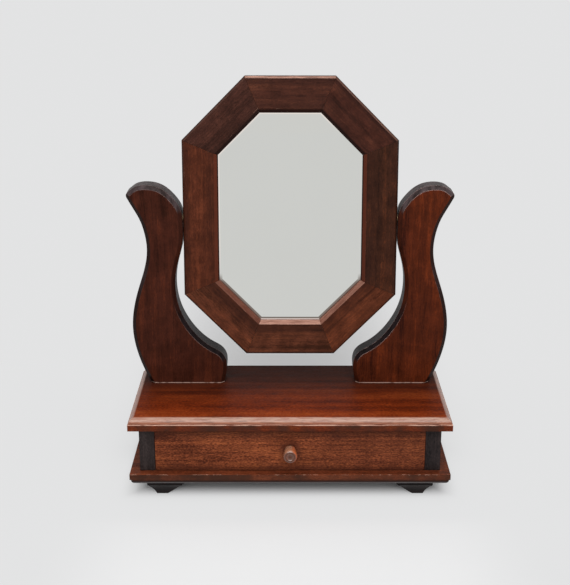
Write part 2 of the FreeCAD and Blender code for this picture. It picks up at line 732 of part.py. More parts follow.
def sprigs():
    """Headless brads driven into the rebate's wall behind the backing, one near each corner of a member."""
    wall = octagon(MEMBER_WIDTH - REBATE_WIDTH, GLASS_RECESS + GLASS_THICKNESS + BACKING_THICKNESS)
    brads = []
    for index, start in enumerate(wall):
        end = wall[(index + 1) % len(wall)]
        along = end.sub(start)
        along.normalize()
        inward = AXIS_Y.cross(along)
        for foot in (start + along * SPRIG_FROM_CORNER, end - along * SPRIG_FROM_CORNER):
            tip = foot + AXIS_Y * SPRIG_RADIUS - inward * SPRIG_IN_WOOD
            brads.append(Part.makeCylinder(SPRIG_RADIUS, SPRIG_LENGTH, tip, inward))
    return brads


def glass_plate(near, thickness):
    return octagon_plate(MEMBER_WIDTH - REBATE_WIDTH + SEAT, near, near + thickness)


def pivot_pin():
    start = FreeCAD.Vector(FRAME_WIDTH / 2 - PIVOT_IN_FRAME, PIVOT_Y, PIVOT_Z)
    length = PIVOT_IN_FRAME + SWIVEL_GAP + PIVOT_IN_STANDARD
    return Part.makeCylinder(PIVOT_RADIUS, length, start, AXIS_X)


def pivot_washer():
    start = FreeCAD.Vector(FRAME_WIDTH / 2, PIVOT_Y, PIVOT_Z)
    thickness = SWIVEL_GAP - WASHER_PLAY
    disc = Part.makeCylinder(WASHER_RADIUS, thickness, start, AXIS_X)
    return disc.cut(Part.makeCylinder(PIVOT_RADIUS, thickness, start, AXIS_X))


def tilted(shape):
    """Leans a piece of the swinging mirror back about the pivots to its resting angle."""
    shape.rotate(PIVOT_POINT, AXIS_X, -REST_TILT)
    return shape


def save_mirror():
    ring = frame_ring()
    splines = mitre_splines()
    brads = sprigs()
    pins = [pivot_pin(), mirrored(pivot_pin())]
    for index, node in enumerate(FRAME_MEMBERS):
        member = ring.common(frame_sector(index)).cut(splines + brads + pins)
        save(node, tilted(member))
    save("mitre_splines", tilted(Part.makeCompound(splines)))
    save("backing_sprigs", tilted(Part.makeCompound(brads)))
    save("mirror_glass", tilted(glass_plate(GLASS_RECESS, GLASS_THICKNESS)))
    save("backing_board", tilted(glass_plate(GLASS_RECESS + GLASS_THICKNESS, BACKING_THICKNESS)))
    save("pivot_pin_right", tilted(pivot_pin()))
    save("pivot_pin_left", tilted(mirrored(pivot_pin())))
    save("pivot_washer_right", tilted(pivot_washer()))
    save("pivot_washer_left", tilted(mirrored(pivot_washer())))


# ---------------------------------------------------------------- all pieces

def save_box():
    save("top_board", top_board())
    save("bottom_board", bottom_board())
    save("side_panel_right", side_panel())
    save("side_panel_left", mirrored(side_panel()))
    save("post_right", post())
    save("post_left", mirrored(post()))
    save("back_panel", back_panel())
    save("back_panel_pins", Part.makeCompound(back_pins()))
    save("carcass_dowels", Part.makeCompound(dowels()))
    save("drawer_stops", Part.makeCompound(drawer_stops()))


def save_feet():
    for front, name in ((True, "foot_front_"), (False, "foot_back_")):
        save(name + "left", placed_foot(front))
        save(name + "right", mirrored(placed_foot(front)))
    places = foot_screw_places()
    screws = [slotted(screw, place, -AXIS_Z) for screw, place in zip(foot_screws(), places)]
    save("foot_screws", Part.makeCompound(screws))


def save_drawer():
    save("drawer_front", drawer_front())
    save("drawer_side_right", drawer_side())
    save("drawer_side_left", mirrored(drawer_side()))
    save("drawer_back", drawer_back())
    save("drawer_floor", drawer_floor())
    save("drawer_pins", Part.makeCompound(drawer_pins()))
    save("drawer_knob", knob())
    save("knob_screw", slotted(knob_screw(), knob_screw_head(), -AXIS_Y))


def save_standards():
    save("standard_right", standard())
    save("standard_left", mirrored(standard()))
    places = standard_screw_places()
    screws = [slotted(screw, place, AXIS_Z) for screw, place in zip(standard_screws(), places)]
    save("standard_screws", Part.makeCompound(screws))


save_box()
save_feet()
save_drawer()
save_standards()
save_mirror()
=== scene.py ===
import json
import math

import bpy
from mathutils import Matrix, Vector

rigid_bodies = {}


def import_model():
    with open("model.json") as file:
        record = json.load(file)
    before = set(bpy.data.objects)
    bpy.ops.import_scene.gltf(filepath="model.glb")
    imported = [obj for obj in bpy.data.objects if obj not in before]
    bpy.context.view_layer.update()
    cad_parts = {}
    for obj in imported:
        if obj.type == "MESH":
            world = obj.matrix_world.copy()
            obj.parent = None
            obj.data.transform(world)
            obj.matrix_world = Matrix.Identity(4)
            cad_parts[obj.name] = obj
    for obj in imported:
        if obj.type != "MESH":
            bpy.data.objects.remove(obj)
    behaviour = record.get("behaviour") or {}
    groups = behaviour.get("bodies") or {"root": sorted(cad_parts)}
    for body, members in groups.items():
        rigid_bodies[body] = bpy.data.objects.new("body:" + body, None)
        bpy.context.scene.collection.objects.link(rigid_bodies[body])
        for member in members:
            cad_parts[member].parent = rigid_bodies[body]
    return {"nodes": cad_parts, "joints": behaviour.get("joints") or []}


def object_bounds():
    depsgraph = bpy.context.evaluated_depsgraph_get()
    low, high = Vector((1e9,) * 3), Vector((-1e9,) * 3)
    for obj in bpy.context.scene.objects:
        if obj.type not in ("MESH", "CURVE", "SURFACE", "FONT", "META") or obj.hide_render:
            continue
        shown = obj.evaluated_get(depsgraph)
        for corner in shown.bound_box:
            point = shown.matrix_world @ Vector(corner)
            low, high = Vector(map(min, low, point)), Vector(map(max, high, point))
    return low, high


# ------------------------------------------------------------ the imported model
# The joiner's assembly as it was packed, piece by piece, in metres.
# The empty file's own cube, lamp and camera go first, so that only the mirror and its box are measured.

for leftover in list(bpy.data.objects):
    bpy.data.objects.remove(leftover)
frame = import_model()
cad_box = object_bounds()
bpy.ops.object.select_all(action="DESELECT")
pieces = frame["nodes"]


# ------------------------------------------------------------ bottom board
# A solid mahogany board, planed 15 mm thick, with a square edge, a small fillet and a quarter-round
# worked on the front and both ends. It is stained red-brown and wax polished.

def put(tree, kind, feeds=None, **settings):
    """Adds a node; feeds gives its inputs, each a plain value or another node's output."""
    made = tree.nodes.new(kind)
    for name, value in settings.items():
        setattr(made, name, value)
    for key, value in (feeds or {}).items():
        if isinstance(value, bpy.types.NodeSocket):
            tree.links.new(value, made.inputs[key])
        else:
            made.inputs[key].default_value = value
    return made


def sums(tree, operation, first, second=0.0, third=0.0):
    """One step of arithmetic on numbers or on other nodes' outputs."""
    return put(tree, "ShaderNodeMath", {0: first, 1: second, 2: third}, operation=operation).outputs[0]


def spread(tree, value, low, high, to_low=0.0, to_high=1.0):
    """Stretches a value from one range to another and holds it at the ends."""
    feeds = {"Value": value, "From Min": low, "From Max": high, "To Min": to_low, "To Max": to_high}
    return put(tree, "ShaderNodeMapRange", feeds, interpolation_type="SMOOTHSTEP").outputs["Result"]


def tinted(tree, share, under, over, way="MIX"):
    """Lays one colour over another by a share."""
    feeds = {0: share, 6: under, 7: over}
    return put(tree, "ShaderNodeMix", feeds, data_type="RGBA", blend_type=way).outputs[2]


def swatch(red, green, blue):
    """A colour read off a stain card, 0 to 255, as the shader's light values."""
    values = [part / 255 for part in (red, green, blue)]
    return [part / 12.92 if part < 0.04 else ((part + 0.055) / 1.055) ** 2.4 for part in values] + [1.0]


def new_group(name, takes, gives):
    """An empty shader node group with named sockets."""
    kinds = {float: "NodeSocketFloat", list: "NodeSocketColor", tuple: "NodeSocketVector"}
    group = bpy.data.node_groups.new(name, "ShaderNodeTree")
    for label, value in takes.items():
        socket = group.interface.new_socket(name=label, in_out="INPUT", socket_type=kinds[type(value)])
        socket.default_value = value
    for label, kind in gives.items():
        group.interface.new_socket(name=label, in_out="OUTPUT", socket_type=kinds[kind])
    return group, put(group, "NodeGroupInput").outputs, put(group, "NodeGroupOutput").inputs


def moved(tree, vector, shift):
    """A vector with another one, or a node's output, added to it."""
    return put(tree, "ShaderNodeVectorMath", {0: vector, 1: shift}, operation="ADD").outputs[0]


def parts(tree, vector):
    """The x, y and z of a vector."""
    return put(tree, "ShaderNodeSeparateXYZ", {0: vector}).outputs


def cloud(tree, vector, scale, detail):
    """Noise in soft patches; scale is how many of them fill a metre."""
    feeds = {"Vector": vector, "Scale": scale, "Detail": detail}
    return put(tree, "ShaderNodeTexNoise", feeds).outputs["Fac"]


def stretched_noise(tree, vector, stretch, detail):
    """Noise drawn out along the vector's x; stretch is how many grains of it fill a metre each way."""
    laid = put(tree, "ShaderNodeVectorMath", {0: vector, 1: stretch}, operation="MULTIPLY").outputs[0]
    feeds = {"Vector": laid, "Scale": 1.0, "Detail": detail, "Roughness": 0.58}
    return put(tree, "ShaderNodeTexNoise", feeds).outputs["Fac"]


def timber_figure():
    """Streaks, mottle and pores of a timber whose grain runs along the vector's x."""
    takes = {
        "Vector": (0.0, 0.0, 0.0), "Dark": [0.0, 0.0, 0.0, 1.0], "Middle": [0.1, 0.1, 0.1, 1.0],
        "Light": [0.2, 0.2, 0.2, 1.0], "Streak": 0.006, "Wander": 0.004, "Mottle": 0.15, "Pores": 0.5,
        "Fleck": 0.3, "Seed": 0.0,
    }
    group, given, result = new_group("timber figure", takes, {"Color": list, "Pore": float, "Fibre": float})

    # Each plank is cut from its own place in the log, and its grain wanders a little.
    aside = sums(group, "MULTIPLY", given["Seed"], 0.37)
    seed = put(group, "ShaderNodeCombineXYZ", {0: given["Seed"], 1: aside}).outputs[0]
    start = moved(group, given["Vector"], seed)
    drift = put(group, "ShaderNodeTexNoise", {"Vector": start, "Scale": 6.0, "Detail": 1.0})
    centred = moved(group, drift.outputs["Color"], (-0.5, -0.5, -0.5))
    bent = put(group, "ShaderNodeVectorMath", {0: centred, "Scale": given["Wander"]}, operation="SCALE")
    grain = moved(group, start, bent.outputs[0])

    # The figure in layers, from the broad ribbons down to the pores.
    across = sums(group, "DIVIDE", 1.0, given["Streak"])
    stretch = put(group, "ShaderNodeCombineXYZ", {0: 2.2, 1: across, 2: across}).outputs[0]
    laid = put(group, "ShaderNodeVectorMath", {0: grain, 1: stretch}, operation="MULTIPLY").outputs[0]
    bands = put(group, "ShaderNodeTexNoise", {"Vector": laid, "Scale": 1.0, "Detail": 2.0, "Roughness": 0.55})
    smoke = stretched_noise(group, grain, (9.0, 34.0, 34.0), 2.0)
    fibre = stretched_noise(group, grain, (55.0, 620.0, 620.0), 2.0)
    fleck = stretched_noise(group, grain, (330.0, 760.0, 760.0), 1.0)
    pits = stretched_noise(group, grain, (240.0, 1900.0, 1900.0), 0.0)
    patches = stretched_noise(group, start, (60.0, 60.0, 60.0), 3.0)

    share = 0.5
    for layer, weight in ((bands.outputs["Fac"], 0.30), (smoke, 0.26), (fibre, 0.20),
                          (fleck, given["Fleck"])):
        share = sums(group, "MULTIPLY_ADD", sums(group, "SUBTRACT", layer, 0.5), weight, share)
    body = tinted(group, spread(group, share, 0.40, 0.50), given["Dark"], given["Middle"])
    body = tinted(group, spread(group, share, 0.50, 0.60), body, given["Light"])
    lower = sums(group, "SUBTRACT", 1.0, given["Mottle"])
    upper = sums(group, "ADD", 1.0, given["Mottle"])
    shade = spread(group, patches, 0.34, 0.66, lower, upper)
    body = put(group, "ShaderNodeVectorMath", {0: body, "Scale": shade}, operation="SCALE").outputs[0]
    pore = sums(group, "MULTIPLY", spread(group, pits, 0.56, 0.68), given["Pores"])
    body = tinted(group, sums(group, "MULTIPLY", pore, 0.75), body, given["Dark"])
    group.links.new(body, result["Color"])
    group.links.new(pore, result["Pore"])
    group.links.new(fibre, result["Fibre"])
    return group


def arris_wear_and_shade():
    """Where handling has rubbed the outer arrises, where grime and painted shade darken the corners, and the
    softened normal.
    """
    takes = {"Radius": 0.0006, "Reach": 0.5, "Seed": 0.0}
    group, given, result = new_group("worn arrises and corner shade", takes, {"Worn": float, "Grime and shade": float, "Normal": tuple})
    soft = put(group, "ShaderNodeBevel", {"Radius": given["Radius"]}, samples=4).outputs["Normal"]
    plain = put(group, "ShaderNodeNewGeometry").outputs["Normal"]
    agree = put(group, "ShaderNodeVectorMath", {0: soft, 1: plain}, operation="DOT_PRODUCT").outputs["Value"]
    edge = spread(group, sums(group, "SUBTRACT", 1.0, agree), 0.004, 0.06)
    # Occlusion in the corners gives grime and painted shade.
    shelter = put(group, "ShaderNodeAmbientOcclusion", {"Distance": 0.005}, samples=4).outputs["AO"]
    outer = spread(group, shelter, 0.45, 0.8)
    spot = put(group, "ShaderNodeTexCoord").outputs["Object"]
    shift = put(group, "ShaderNodeCombineXYZ", {0: given["Seed"], 2: given["Seed"]}).outputs[0]
    feeds = {"Vector": moved(group, spot, shift), "Scale": 140.0, "Detail": 4.0, "Roughness": 0.7}
    rub_and_highlight = put(group, "ShaderNodeTexNoise", feeds)
    low = sums(group, "SUBTRACT", 0.85, given["Reach"])
    broken = spread(group, rub_and_highlight.outputs["Fac"], low, sums(group, "ADD", low, 0.12))
    worn = sums(group, "MULTIPLY", sums(group, "MULTIPLY", edge, outer), broken)
    group.links.new(worn, result["Worn"])
    group.links.new(spread(group, shelter, 0.75, 0.2), result["Grime and shade"])
    group.links.new(soft, result["Normal"])
    return group


figure = timber_figure()
wear_and_shade = arris_wear_and_shade()

# How a piece is turned, in degrees, to bring its grain along x.
ALONG_X = (0.0, 0.0, 0.0)
ALONG_Y = (0.0, 0.0, -90.0)
ALONG_Z = (0.0, 90.0, 0.0)


def between_flats(tree, facing, flats):
    """Chamfers, bevels and rounds: the faces that look straight along none of the three directions."""
    squarest = sums(tree, "MAXIMUM", sums(tree, "ABSOLUTE", facing[0]), sums(tree, "ABSOLUTE", facing[1]))
    squarest = sums(tree, "MAXIMUM", squarest, sums(tree, "ABSOLUTE", facing[2]))
    return spread(tree, squarest, flats[0], flats[1])


def between_heights(tree, height, foot, top, blur=0.0002):
    """The band of heights from the foot of a moulding up to its top."""
    above = spread(tree, height, foot - blur, foot + blur)
    below = spread(tree, height, top + blur, top - blur)
    return sums(tree, "MULTIPLY", above, below)


def polished_timber(name, dark, middle, light, turn=ALONG_X, centre=(0.0, 0.0, 0.0), streak=0.006,
                    wander=0.004, mottle=0.15, pores=0.5, fleck=0.3, seed=0.0, rub_and_highlight=(150, 95, 70),
                    reach=0.3, rub_share=0.7, rub_lit_above=-2.0, rub_width=0.0006, gloss=0.35, sheen=0.04,
                    flats=(0.97, 0.85), flat_coat=0.0, top_coat=0.0, edge_coat=0.6, coat_gloss=0.28,
                    highlight=(150, 100, 80), highlight_share=0.2, highlight_below=-2.0, highlight_foot=(120, 80, 60),
                    moulding=None, stain_and_painted_light=None, shade_lines=None, wax=None):
    """Stained and polished wood: figured body, rubbed arrises, grime and painted shade in corners, painted
    highlights.

    turn and centre lay the grain along the piece. rub_and_highlight is the bare wood that shows where the
    arrises are worn through, over rub_width and on faces that look up by more than rub_lit_above; kept to the
    arrises that look up, it is a painted highlight as well. highlight is the paler painted highlight of the
    mouldings and chamfers, or of the band of heights that moulding gives. flats says how square a face has to
    lie to count as flat. stain_and_painted_light, shade_lines and wax are functions that lay further colours
    on: under the painted highlight, over it, and over all the rest. Each takes the tree, the wood's colour,
    the Object coordinates as the grain lies, and the direction that the face looks in, and gives back a
    colour."""
    material = bpy.data.materials.new(name)
    material.use_nodes = True
    tree = material.node_tree
    shader = tree.nodes["Principled BSDF"]
    place = put(tree, "ShaderNodeTexCoord").outputs
    facing = parts(tree, place["Normal"])
    height = parts(tree, place["Object"])[2]
    centred = moved(tree, place["Object"], [-part for part in centre])
    angles = [math.radians(angle) for angle in turn]
    along = put(tree, "ShaderNodeMapping", {"Vector": centred, "Rotation": angles}).outputs["Vector"]
    wood = put(tree, "ShaderNodeGroup", node_tree=figure)
    tree.links.new(along, wood.inputs["Vector"])
    for label, value in {"Dark": swatch(*dark), "Middle": swatch(*middle), "Light": swatch(*light),
                         "Streak": streak, "Wander": wander, "Mottle": mottle, "Pores": pores,
                         "Fleck": fleck, "Seed": seed}.items():
        wood.inputs[label].default_value = value
    pore, fibre = wood.outputs["Pore"], wood.outputs["Fibre"]
    worn = put(tree, "ShaderNodeGroup", node_tree=wear_and_shade)
    for label, value in {"Radius": rub_width, "Reach": reach, "Seed": seed}.items():
        worn.inputs[label].default_value = value

    # The body's colour with its stain and painted light, then the painted highlight of the mouldings.
    colour = wood.outputs["Color"]
    if stain_and_painted_light:
        colour = stain_and_painted_light(tree, colour, along, facing)
    moulded = between_flats(tree, facing, flats)
    if moulding:
        off_level = spread(tree, sums(tree, "ABSOLUTE", facing[2]), 0.995, 0.93)
        moulded = sums(tree, "MULTIPLY", between_heights(tree, height, *moulding), off_level)
    lit = sums(tree, "MULTIPLY", moulded, spread(tree, facing[2], highlight_below, highlight_below + 0.4))
    streaks = spread(tree, fibre, 0.42, 0.62, 1.0, 0.5)
    lit = sums(tree, "MULTIPLY", sums(tree, "MULTIPLY", lit, highlight_share), streaks)
    tone = swatch(*highlight)
    if moulding:
        foot, top = moulding
        ends = spread(tree, sums(tree, "ABSOLUTE", facing[0]), 0.2, 0.4, 1.0, 0.55)
        lit = sums(tree, "MULTIPLY", lit, ends)
        tone = tinted(tree, spread(tree, height, top - 0.002, foot + 0.001), tone, swatch(*highlight_foot))
    colour = tinted(tree, lit, colour, tone)

    # A broken pale line where the moulding's foot meets the square edge: a painted highlight.
    if moulding:
        arris = sums(tree, "MULTIPLY", spread(tree, height, foot - 0.0007, foot - 0.0004),
                     spread(tree, height, foot + 0.0006, foot + 0.0002))
        arris = sums(tree, "MULTIPLY", arris, spread(tree, fibre, 0.62, 0.45, 0.15, 0.85))
        colour = tinted(tree, arris, colour, swatch(205, 165, 146))

    # Grime in the pores, grime and painted shade in the corners, and bare wood at the rubbed arrises, also a
    # painted highlight where only the arrises that look up get it.
    if shade_lines:
        colour = shade_lines(tree, colour, along, facing)
    colour = tinted(tree, sums(tree, "MULTIPLY", pore, 0.5), colour, swatch(*dark))
    colour = tinted(tree, sums(tree, "MULTIPLY", worn.outputs["Grime and shade"], 0.75), colour, swatch(16, 10, 8))
    risen = parts(tree, worn.outputs["Normal"])[2]
    upward = spread(tree, risen, rub_lit_above, rub_lit_above + 0.2, 0.0, rub_share)
    colour = tinted(tree, sums(tree, "MULTIPLY", worn.outputs["Worn"], upward), colour, swatch(*rub_and_highlight))
    if wax:
        colour = wax(tree, colour, along, facing)
    tree.links.new(colour, shader.inputs["Base Color"])

    # The polish: rougher over the pores, glossier on the mouldings and the top.
    rough = spread(tree, fibre, 0.3, 0.7, gloss - 0.06, gloss + 0.08)
    rough = sums(tree, "ADD", rough, sums(tree, "MULTIPLY", pore, 0.25))
    tree.links.new(rough, shader.inputs["Roughness"])
    relief = sums(tree, "SUBTRACT", sums(tree, "MULTIPLY", fibre, 0.35), pore)
    bump = put(tree, "ShaderNodeBump", {"Height": relief, "Normal": worn.outputs["Normal"],
                                        "Strength": 0.35, "Distance": 0.00025})
    tree.links.new(bump.outputs["Normal"], shader.inputs["Normal"])
    plain_coat = spread(tree, facing[2], 0.9, 0.98, flat_coat, top_coat)
    coat = put(tree, "ShaderNodeMix", {0: moulded, 2: plain_coat, 3: edge_coat}).outputs[0]
    tree.links.new(coat, shader.inputs["Coat Weight"])
    shader.inputs["Specular IOR Level"].default_value = sheen
    shader.inputs["Coat Roughness"].default_value = coat_gloss
    return material


def finish(nodes, material):
    """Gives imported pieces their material."""
    for node in nodes:
        pieces[node].material_slots[0].material = material


def edge_stain_and_shade(tree, colour, along, facing):
    """Darker where the square edge soaked up stain, partly painted shade, and painted shade on the faces that
    look down under the moulding.
    """
    upright = spread(tree, facing[2], 0.75, 0.35)
    under = spread(tree, facing[2], -0.05, -0.35)
    soaked_and_shaded = sums(tree, "MULTIPLY", upright, spread(tree, cloud(tree, along, 38.0, 3.0), 0.3, 0.7, 0.4, 0.95))
    colour = tinted(tree, soaked_and_shaded, colour, swatch(52, 32, 24))
    # Painted shade on the faces that look down.
    return tinted(tree, sums(tree, "MULTIPLY", under, 0.85), colour, swatch(26, 18, 16))


finish(["bottom_board"], polished_timber(
    "bottom board mahogany", dark=(58, 26, 14), middle=(98, 47, 28), light=(122, 62, 37), streak=0.007,
    seed=3.1, rub_and_highlight=(225, 184, 162), reach=0.36, rub_share=0.85, rub_lit_above=0.1, highlight_share=0.0,
    flat_coat=0.05, stain_and_painted_light=edge_stain_and_shade))


# ------------------------------------------------------------ feet
# Four small ogee bracket feet, sawn from one moulded strip, ebonised and screwed up under the
# bottom board. Their black is stain under a satin polish, a little brown where it is thin.

def ebonised_timber(name, black, brown, seed, dark=(18, 13, 13), turn=ALONG_X, edge_coat=0.3):
    """Wood stained black, with a brown cast where the stain is thin and dark streaks where it lies thick."""
    return polished_timber(name, dark=dark, middle=black, light=brown, turn=turn, streak=0.005, mottle=0.12,
                           pores=0.3, seed=seed, rub_and_highlight=(96, 70, 58), reach=0.26, rub_share=0.5, gloss=0.4,
                           sheen=0.06, flat_coat=0.05, edge_coat=edge_coat, highlight_share=0.0)


finish(["foot_front_left", "foot_front_right", "foot_back_left", "foot_back_right"], ebonised_timber(
    "ebonised feet", black=(28, 22, 22), brown=(38, 30, 28), seed=1.7, edge_coat=0.05))


# ------------------------------------------------------------ sides and posts
# The box has two mahogany sides let in behind ebonised corner posts, which are planted on the
# front. The sides are polished outside like the boards, with the grain running front to back. The
# left post's stain has faded a little.

finish(["side_panel_left", "side_panel_right"], polished_timber(
    "side mahogany", dark=(48, 22, 14), middle=(84, 42, 28), light=(104, 54, 36), turn=ALONG_Y, seed=5.3))
finish(["post_left"], ebonised_timber(
    "ebonised left post", black=(50, 42, 41), brown=(56, 46, 44), seed=2.4, dark=(36, 29, 28), turn=ALONG_Z))
finish(["post_right"], ebonised_timber(
    "ebonised right post", black=(37, 31, 31), brown=(48, 39, 38), seed=2.4, turn=ALONG_Z))


# ------------------------------------------------------------ back, dowels and stops
# Unpolished pine where it isn't seen: the panel pinned into the back rebate, the dowels between
# sides and boards, the two stops behind the drawer front. Pins and screws are plain steel.

def planed_pine(name, seed, turn=ALONG_X):
    """Bare pine as the plane left it, gone honey brown with age."""
    return polished_timber(name, dark=(148, 108, 70), middle=(184, 144, 100), light=(204, 168, 124),
                           turn=turn, streak=0.009, wander=0.008, mottle=0.06, pores=0.1, fleck=0.1,
                           seed=seed, rub_and_highlight=(214, 184, 144), reach=0.2, rub_share=0.4, gloss=0.6, sheen=0.2,
                           edge_coat=0.0, highlight=(190, 150, 108), highlight_share=0.1)


finish(["back_panel", "carcass_dowels", "drawer_stops"], planed_pine("back pine", seed=4.2))


def fixing_metal(name, dull, bright, roughness=0.42, metallic=1.0):
    """Small metal pieces: a dull skin, brighter where it is rubbed, darker in its corners."""
    material = bpy.data.materials.new(name)
    material.use_nodes = True
    tree = material.node_tree
    shader = tree.nodes["Principled BSDF"]
    place = put(tree, "ShaderNodeTexCoord").outputs["Object"]
    specks = cloud(tree, place, 420.0, 3.0)
    worn = put(tree, "ShaderNodeGroup", node_tree=wear_and_shade)
    worn.inputs["Radius"].default_value = 0.0002
    worn.inputs["Reach"].default_value = 0.45
    skin = tinted(tree, spread(tree, specks, 0.35, 0.65), swatch(*dull), swatch(*bright))
    skin = tinted(tree, worn.outputs["Worn"], skin, swatch(*bright))
    # Grime and painted shade in the corners, from the occlusion.
    skin = tinted(tree, sums(tree, "MULTIPLY", worn.outputs["Grime and shade"], 0.6), skin, swatch(40, 32, 26))
    rough = spread(tree, specks, 0.3, 0.7, roughness - 0.1, roughness + 0.12)
    bump = put(tree, "ShaderNodeBump", {"Height": specks, "Normal": worn.outputs["Normal"],
                                        "Strength": 0.2, "Distance": 0.0001})
    tree.links.new(skin, shader.inputs["Base Color"])
    tree.links.new(rough, shader.inputs["Roughness"])
    tree.links.new(bump.outputs["Normal"], shader.inputs["Normal"])
    shader.inputs["Metallic"].default_value = metallic
    return material


screw_steel = fixing_metal("screw steel", dull=(92, 90, 88), bright=(168, 166, 162))
finish(["back_panel_pins", "foot_screws", "standard_screws"], screw_steel)


# ------------------------------------------------------------ top board
# The same board as the bottom one, a little thicker, with the moulding turned up. It is the most
# handled face, so its polish is warm and clear, with straight dark and light ribbons of grain.

def extent(node, axis):
    """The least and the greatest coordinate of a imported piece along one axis."""
    reached = [corner[axis] for corner in pieces[node].bound_box]
    return min(reached), max(reached)


BOARD_FRONT, BOARD_BACK = extent("top_board", 1)
BOARD_TOP = extent("top_board", 2)[1]
MOULDING_HEIGHT = 0.0079

# Painted shade on the board's top: none this far in from its front, and darkest this far in from its back.
UNSHADED_FRONT = 0.0091
SHADED_BACK = 0.0309


def board_back_shade(tree, colour, along, facing):
    """Painted shade: the back of the board, under the mirror, is darker than its front, where the mirror
    keeps the light off.
    """
    level = spread(tree, facing[2], 0.9, 0.98)
    depth = parts(tree, along)[1]
    behind = spread(tree, depth, BOARD_FRONT + UNSHADED_FRONT, BOARD_BACK - SHADED_BACK, 0.0, 0.85)
    colour = tinted(tree, sums(tree, "MULTIPLY", level, behind), colour, swatch(32, 19, 15))
    return edge_stain_and_shade(tree, colour, along, facing)


finish(["top_board"], polished_timber(
    "top board mahogany", dark=(72, 24, 8), middle=(110, 41, 14), light=(134, 58, 23), streak=0.011,
    wander=0.003, mottle=0.08, pores=0.35, seed=7.7, rub_and_highlight=(225, 190, 170), reach=0.32, rub_share=0.8,
    rub_lit_above=0.1, gloss=0.45, sheen=0.02, flat_coat=0.05, edge_coat=0.8, highlight=(166, 129, 110),
    highlight_share=0.85, highlight_foot=(150, 90, 64), moulding=(BOARD_TOP - MOULDING_HEIGHT, BOARD_TOP),
    stain_and_painted_light=board_back_shade))


# ------------------------------------------------------------ drawer
# A full-width mahogany front, lap dovetailed to thin pine sides, with a pine back between them and a
# pine floor slid into grooves. The front is cut along the plank, so its pores lie in fine level rows.

DRAWER_BOTTOM, DRAWER_TOP = extent("drawer_front", 2)
KNOB_BOTTOM, KNOB_TOP = extent("drawer_knob", 2)

# How far the painted shade reaches in from the front's edges, and where the knob's painted shadow rings it.
UPPER_SHADE = 0.020
UPPER_FULL = 0.004
LOWER_SHADE = 0.014
SHADE_DRIFT = 0.02
RIGHT_SHADE = (-0.05, 0.15)
RING_OUTER = 0.019
RING_INNER = 0.008


def shaded_front(tree, colour, along, facing):
    """Painted shade along the front's upper and lower edges, darker to the right, and a painted shadow in a
    ring round the knob.
    """
    across, _, level = parts(tree, along)
    drift = sums(tree, "SUBTRACT", cloud(tree, along, 26.0, 3.0), 0.5)
    height = sums(tree, "MULTIPLY_ADD", drift, SHADE_DRIFT, level)
    upper = spread(tree, height, DRAWER_TOP - UPPER_SHADE, DRAWER_TOP - UPPER_FULL)
    lower = spread(tree, height, DRAWER_BOTTOM + LOWER_SHADE, DRAWER_BOTTOM)
    edges = sums(tree, "MULTIPLY", sums(tree, "MAXIMUM", upper, lower), 0.6)
    right = spread(tree, across, *RIGHT_SHADE, 0.0, 0.3)
    colour = tinted(tree, sums(tree, "MAXIMUM", edges, right), colour, swatch(56, 30, 24))
    rise = sums(tree, "SUBTRACT", level, (KNOB_BOTTOM + KNOB_TOP) / 2)
    squares = sums(tree, "MULTIPLY_ADD", across, across, sums(tree, "MULTIPLY", rise, rise))
    ring = spread(tree, sums(tree, "SQRT", squares), RING_OUTER, RING_INNER, 0.0, 0.6)
    return tinted(tree, ring, colour, swatch(60, 30, 24))


finish(["drawer_front"], polished_timber(
    "drawer front mahogany", dark=(66, 30, 18), middle=(113, 58, 35), light=(142, 77, 44), streak=0.0045,
    wander=0.002, mottle=0.14, pores=0.8, fleck=0.36, seed=11.3, rub_and_highlight=(150, 96, 70), rub_share=0.5,
    stain_and_painted_light=shaded_front))
finish(["drawer_side_left", "drawer_side_right"], planed_pine("drawer side pine", seed=6.1, turn=ALONG_Y))
finish(["drawer_back", "drawer_floor"], planed_pine("drawer floor pine", seed=8.6))
finish(["drawer_pins", "knob_screw"], screw_steel)


# ------------------------------------------------------------ knob
# Turned from a mahogany blank with its grain along the axis: collar, bulb, quirk, and a lip with
# a dished end. It is held by one screw through the drawer front, and polished by fingers.

def knob_light_and_shade(tree, colour, along, facing):
    """Painted light: a painted highlight on top, a painted orange glow down the right side, and painted shade
    on the end.
    """
    colour = tinted(tree, spread(tree, facing[2], 0.2, 0.9, 0.0, 0.6), colour, swatch(176, 122, 92))
    beside = spread(tree, facing[0], 0.98, 0.7, 0.2, 1.0)
    glow = sums(tree, "MULTIPLY", spread(tree, facing[0], 0.1, 0.5, 0.0, 0.65), beside)
    colour = tinted(tree, glow, colour, swatch(176, 80, 30))
    return tinted(tree, spread(tree, facing[1], -0.72, -0.94, 0.0, 0.85), colour, swatch(80, 52, 42))


finish(["drawer_knob"], polished_timber(
    "knob mahogany", dark=(52, 24, 15), middle=(104, 56, 36), light=(136, 80, 54), turn=ALONG_Y, streak=0.002,
    wander=0.001, mottle=0.15, pores=0.4, seed=9.2, rub_and_highlight=(205, 160, 136), reach=0.45, rub_share=0.2, gloss=0.3,
    sheen=0.08, flats=(0.995, 0.97), flat_coat=0.05, top_coat=1.0, edge_coat=1.0, highlight_share=0.0,
    coat_gloss=0.12, stain_and_painted_light=knob_light_and_shade))


# ------------------------------------------------------------ standards
# Two serpentine standards bandsawn from thick mahogany and screwed up through the top board. The
# front face keeps its red-brown polish. The edges, the back, and the chamfer where it looks up are
# ebonised, with a painted grey sheen on the horns that is left off down the inner sweep.

# The black has a painted grey sheen above the one height and is deep below the other. The wax lies up
# to a height above the board.
HORN_HEIGHT = 0.30
SWEEP_HEIGHT = 0.22
BEAD_FULL = 0.0007
BEAD_END = 0.0015


